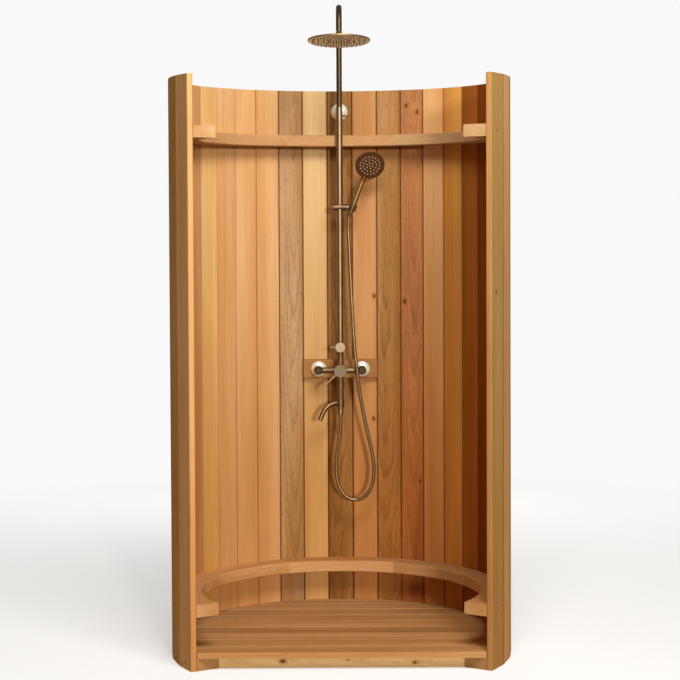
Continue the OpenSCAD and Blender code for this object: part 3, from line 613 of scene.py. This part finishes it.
def threaded_nickel():
    """The supply unions: plain nickel, with a thread on the last of their length behind the wall, whose
    grooves are painted darker as shade.
    """
    f = Finish("threaded_nickel")
    x, y, z = f.split(f.here())
    low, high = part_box("inlet_unions")
    turn = (z - (low.z + high.z) / 2).math("ARCTAN2", x.math("ABSOLUTE") - INLET_X) / (2 * math.pi)
    thread = ((y / THREAD_PITCH + turn).math("FRACT") - 0.5).math("ABSOLUTE") * 2
    start = high.y - THREAD_L
    on_tail = f.smooth(y, start - THREAD_FADE, start + THREAD_FADE)
    cloud = f.clouds(50, 50, 50) - 0.5
    return f.shade(
        Base_Color=f.scaled(linear("C8C4B8"), 1 - on_tail * thread * 0.5 + cloud * 0.15),
        Metallic=1.0,
        Roughness=0.28 + cloud * 0.1,
        Normal=f.bump(on_tail * (1 - thread), 0.0009, 1.0),
    )


def aerator_screen():
    """The spout's aerator: a fine square screen, with the gaps between its wires painted dark as the shade
    behind them.
    """
    f = Finish("aerator_screen")
    x, y = f.split(f.here())[:2]
    wires = [((axis / SCREEN_PITCH).math("FRACT") - 0.5).math("ABSOLUTE") * 2 for axis in (x, y)]
    wire = f.smooth(wires[0].math("MAXIMUM", wires[1]), 0.5, 0.75)
    return f.shade(
        Base_Color=f.mix(wire, linear("3C3C3A"), linear("B4B4AE")),
        Metallic=0.0,
        Roughness=0.5 - wire * 0.12,
        Normal=f.bump(wire, 0.0004, 1.0),
    )


def dress_fittings():
    """The aged brass differs a little from piece to piece, and its brush marks run along each piece."""
    brass = metal("brass_upright", "8A775C", "6A5840", 0.40)
    arm_brass = metal("brass_arm", "56432E", "403020", 0.42)
    spout_brass = metal("brass_spout", "7C6442", "5A482C", 0.44)
    holder_brass = metal("brass_holder", "A08252", "7A6038", 0.45)
    brass_across = metal("brass_across", "785E46", "54402E", 0.46, "X")
    # The mixer lever's pale, less metallic brass is partly painted highlight along the lever.
    pin_brass = metal("pin_brass", "B89870", "967A54", 0.5, "X", metallic=0.75)
    clamp_brass = metal("clamp_pin_brass", "766248", "5A4830", 0.45, "X")
    brass_deep = metal("brass_front_to_back", "6A5D46", "524632", 0.42, "Y")
    knob_brass = metal("slider_knob_brass", "6E4E2E", "503820", 0.42, "Y")
    pale_brass = metal("diverter_brass", "96826A", "7E6A50", 0.42, "Y")
    low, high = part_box("rain_head_body")
    middle, half = (low.y + high.y) / 2, (high.y - low.y) / 2

    def on_bosses(x, y, z):
        return x.math("ABSOLUTE").math("GREATER_THAN", BOSS_X)

    def painted_shade_above_face(x, y, z):
        depth = (y - middle) * math.sin(RAIN_TILT) + (z - low.z) * math.cos(RAIN_TILT)
        return (depth - half * math.sin(RAIN_TILT)).math("GREATER_THAN", RAIN_FACE_T)

    body_brass = metal("mixer_brass", "7E654A", "58442E", 0.50, "X", dark=(on_bosses, "423722"))
    # The rain head's pale face is partly painted light, standing for light on its underside, and its back
    # above the face is painted shade.
    rain_brass_painted_light = metal("rain_head_brass", "CCC298", "AC9C6E", 0.5, "X", dark=(painted_shade_above_face, "7C6844"))
    nickel = metal("nickel", "F0F2E2", "C6C8B4", 0.32, "Z", 0.4, metallic=0.5)
    finishes = {
        brass: ["riser_pipe", "hose_upper_nut", "hose_lower_nut", "hose_outlet"],
        arm_brass: ["overhead_arm", "rain_ball_nut"],
        spout_brass: ["spout"],
        holder_brass: ["handset_holder"],
        brass_across: ["slider_body"],
        pin_brass: ["mixer_lever"],
        clamp_brass: ["arm_clamp_pin"],
        body_brass: ["mixer_body"],
        brass_deep: ["wall_bracket", "mixer_cap", "cartridge_stem"],
        knob_brass: ["slider_knob"],
        pale_brass: ["diverter_knob"],
        rain_brass_painted_light: ["rain_head_body"],
        nickel: ["cover_plates"],
        threaded_nickel(): ["inlet_unions"],
        plated_handset(): ["handset_body"],
        moulded("bronze_face", "4C2806", 0.48, 0.2): ["handset_face"],
        moulded("rain_silicone", "8A7650", 0.55): ["rain_nozzles"],
        moulded("spray_silicone", "D6BC98", 0.55): ["handset_nozzles"],
        moulded("cartridge", "E8E8E2", 0.4): ["mixer_cartridge"],
        aerator_screen(): ["spout_aerator"],
    }
    for finish, nodes in finishes.items():
        for node in nodes:
            dress(node, finish)


def hose_points():
    """Points along the hose's smooth curve, which goes through every point of its route."""
    route = [Vector(p) for p in HOSE_ROUTE]
    points = []
    for k in range(len(route) - 1):
        a, b, c, d = route[max(k - 1, 0)], route[k], route[k + 1], route[min(k + 2, len(route) - 1)]
        for s in range(CURVE_STEPS):
            t = s / CURVE_STEPS
            points.append(0.5 * (2 * b + (c - a) * t + (2 * a - 5 * b + 4 * c - d) * t ** 2
                                 + (3 * b - a - 3 * c + d) * t ** 3))
    return points + [route[-1]]


def evenly(points, gap):
    """The same line with its points a set gap apart."""
    even, left = [points[0]], gap
    for a, b in zip(points, points[1:]):
        run, done = (b - a).length, 0.0
        while run - done >= left:
            done += left
            even.append(a.lerp(b, done / run))
            left = gap
        left -= run - done
    return even


def hose_frames(line):
    """A frame at each point of the hose, which turns no more than the hose's heading does."""
    heading = (line[1] - line[0]).normalized()
    turn = Vector((0, 0, 1)).rotation_difference(heading).to_matrix().to_4x4()
    frames = []
    for k, point in enumerate(line):
        ahead = (line[min(k + 1, len(line) - 1)] - line[max(k - 1, 0)]).normalized()
        turn = heading.rotation_difference(ahead).to_matrix().to_4x4() @ turn
        heading = ahead
        frames.append(Matrix.Translation(point) @ turn)
    return frames


def hose_tube(name, frames, rings):
    """A length of the wound hose with its ends closed: a flat grid, rolled up round the hose's line."""
    steps = len(rings) - 1
    mesh = bmesh.new()
    ridge = mesh.verts.layers.float.new("ridge")
    bmesh.ops.create_grid(mesh, x_segments=steps, y_segments=HOSE_SIDES, size=1.0)
    for vert in mesh.verts:
        k = rings[round((vert.co.x + 1) / 2 * steps)]
        angle = (vert.co.y + 1) * math.pi
        vert[ridge] = RIDGE_RINGS[k % len(RIDGE_RINGS)]
        radius = HOSE_D / 2 - GROOVE_DEPTH * (1 - vert[ridge])
        vert.co = frames[k] @ Vector((radius * math.cos(angle), radius * math.sin(angle), 0))
    bmesh.ops.remove_doubles(mesh, verts=mesh.verts, dist=1e-6)
    bmesh.ops.holes_fill(mesh, edges=[edge for edge in mesh.edges if edge.is_boundary])
    bmesh.ops.recalc_face_normals(mesh, faces=mesh.faces)
    return finished_piece(name, mesh, smooth=True)


def hose_strip_shaded_grooves():
    """The hose's wound brass strip: bright on its ridges, with painted shade darkening the grooves between
    them.
    """
    f = Finish("hose_strip_shaded_grooves")
    crest = f.node("Attribute", {"attribute_name": "ridge"}, (), "Fac")
    cloud = f.clouds(45, 45, 45, 3.0) - 0.5
    tone = f.mix(crest, linear("54422A"), linear("B89C74"))
    return f.shade(Base_Color=f.scaled(tone, 1 + cloud * 0.3), Metallic=1.0, Roughness=0.36 + cloud * 0.2)


def make_hose():
    """The hose in four lengths that follow on. A length whose two ends follow one body goes with that body.
    """
    line = evenly(hose_points(), RIDGE_GAP / len(RIDGE_RINGS))
    frames = hose_frames(line)
    strip = hose_strip_shaded_grooves()
    heights = [point.z for point in line]
    meets = [next(k for k, height in enumerate(heights) if height < meet) for meet in HOSE_MEETS]
    ends = [0, *meets, heights.index(min(heights)), len(line) - 1]
    # Each length's name, the bodies that its lower and its upper end follow, and its nut
    lengths = [
        ("hose_at_handset", "holder", "handset", "hose_upper_nut"),
        ("hose_at_holder", "slider", "holder", None),
        ("hose_fall", "root", "slider", None),
        ("hose_at_outlet", "root", "root", "hose_lower_nut"),
    ]
    for (name, below, above, nut), first, last in zip(lengths, ends, ends[1:]):
        tube = hose_tube(name, frames, range(first, last + 1))
        tube.data.materials.append(strip)
        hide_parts("shower_hose")
        if above == below:
            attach(tube, below)
        else:
            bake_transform(tube)
        path = [tuple(point) for point in line[first:last:len(RIDGE_RINGS)]] + [tuple(line[last])]


def one_screw():
    """The mesh of a screw that points down, with a star-shaped recess in its head."""
    shape = bmesh.new()
    bmesh.ops.create_cone(
        shape, cap_ends=True, segments=SCREW_SIDES, radius1=SCREW_HEAD_R, radius2=SCREW_HEAD_R,
        depth=SCREW_HEAD_T, matrix=Matrix.Translation((0, 0, SCREW_HEAD_T / 2)),
    )
    caps = [face for face in shape.faces if len(face.verts) == SCREW_SIDES]
    under, top = sorted(caps, key=lambda face: face.calc_center_median().z)
    bmesh.ops.inset_region(shape, faces=[under], thickness=SCREW_HEAD_R - SCREW_R, use_even_offset=True)
    drawn = bmesh.ops.extrude_discrete_faces(shape, faces=[under])["faces"][0]
    bmesh.ops.translate(shape, vec=(0, 0, -SCREW_L), verts=list(drawn.verts))
    bmesh.ops.inset_region(shape, faces=[top], thickness=SCREW_HEAD_R - STAR_R, use_even_offset=True)
    for vert in list(top.verts)[1::2]:
        vert.co.xy *= STAR_WAIST
    sunk = bmesh.ops.extrude_discrete_faces(shape, faces=[top])["faces"][0]
    bmesh.ops.translate(shape, vec=(0, 0, -STAR_DEPTH), verts=list(sunk.verts))
    bmesh.ops.recalc_face_normals(shape, faces=shape.faces)
    screw = bpy.data.meshes.new("one_screw")
    shape.to_mesh(screw)
    shape.free()
    return screw


def make_screws():
    """A screw through each stave into each rib, with its head outside."""
    screw = one_screw()
    inwards = Matrix.Rotation(-math.pi / 2, 4, "X")
    mesh = bmesh.new()
    ribs = ("base_rib", "lower_rib", "upper_rib")
    heights = [sum(corner.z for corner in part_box(rib)) / 2 for rib in ribs]
    for k in range(STAVES):
        out = WALL_R * math.cos(stave_step(k) / 2) + STAVE_T - SCREW_RECESS
        for z in heights:
            place = Matrix.Rotation(-stave_turn(k), 4, "Z") @ Matrix.Translation((0, out, z)) @ inwards
            before = len(mesh.verts)
            mesh.from_mesh(screw)
            mesh.verts.ensure_lookup_table()
            bmesh.ops.transform(mesh, matrix=place, verts=mesh.verts[before:])
    bpy.data.meshes.remove(screw)
    screws = finished_piece("star_screws", mesh)
    screws.data.materials.append(moulded("screw_steel", "2E2218", 0.5, 0.6))
    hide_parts("stave_screws")
    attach(screws, "root")


def make_floor():
    """The studio's pale floor. The camera sees it fade into the backdrop."""
    mesh = bmesh.new()
    bmesh.ops.create_circle(mesh, cap_ends=True, segments=96, radius=FLOOR_R)
    floor = finished_piece("floor", mesh)
    f = Finish("pale_floor")
    x, y = f.split(f.here())[:2]
    away = f.smooth((x * x + y * y) ** 0.5, *FLOOR_FADE)
    seen = f.node("LightPath", (), (), "Is Camera Ray")
    pale = f.node("BsdfDiffuse", (), {"Color": linear("D2D0CC")})
    glow = f.node("Emission", (), {"Color": linear("FFFFFF"), "Strength": seen * FLOOR_GLOW})
    lit = f.node("AddShader", (), {0: pale, 1: glow})
    f.show(f.node("MixShader", (), {0: away * seen, 1: lit, 2: f.node("BsdfTransparent")}))
    floor.data.materials.append(f.owner)


def add_lamp(name, kind, energy, place, target, **settings):
    """A lamp that points at its target."""
    data = bpy.data.lights.new(name, kind)
    data.energy = energy
    for key, value in settings.items():
        setattr(data, key, value)
    lamp = bpy.data.objects.new(name, data)
    bpy.context.scene.collection.objects.link(lamp)
    lamp.location = place
    lamp.rotation_euler = (Vector(target) - Vector(place)).to_track_quat("-Z", "Y").to_euler()
    lamp.visible_camera = False


def light_scene():
    """A plain room that gives a soft light. The camera sees it white, and the metal's gloss partly so."""
    scene = bpy.context.scene
    scene.view_settings.view_transform = "Standard"
    scene.world = bpy.data.worlds.new("studio")
    studio = Finish("studio", scene.world)
    glossy, camera, through = (studio.node("LightPath", (), (), f"Is {ray} Ray")
                               for ray in ("Glossy", "Camera", "Transmission"))
    seen = camera.math("MAXIMUM", glossy * GLOSS_SHARE).math("MAXIMUM", through)
    room, backdrop = studio.node("Background", (), ROOM), studio.node("Background", (), BACKDROP)
    studio.show(studio.node("MixShader", (), {0: seen, 1: room, 2: backdrop}), "World")
    sun = Vector((math.sin(SUN_RIGHT), -math.cos(SUN_RIGHT), SUN_UP))
    add_lamp("key", "SUN", 1.65, sun, (0, 0, 0), angle=math.radians(5), color=(1.0, 0.98, 0.94))
    add_lamp("back", "AREA", 35, (0, 3.6, 1.2), (0, 0.5, 0.95), shape="RECTANGLE", size=2.0, size_y=1.6)
    add_lamp("top", "AREA", 105, (0.5, -2.2, 3.2), (0, 0.3, 1.6), shape="RECTANGLE", size=1.6, size_y=1.0)


make_camera()
make_hose()
dress_wall()
dress_floor_and_ribs()
dress_fittings()
make_screws()
make_floor()
light_scene()
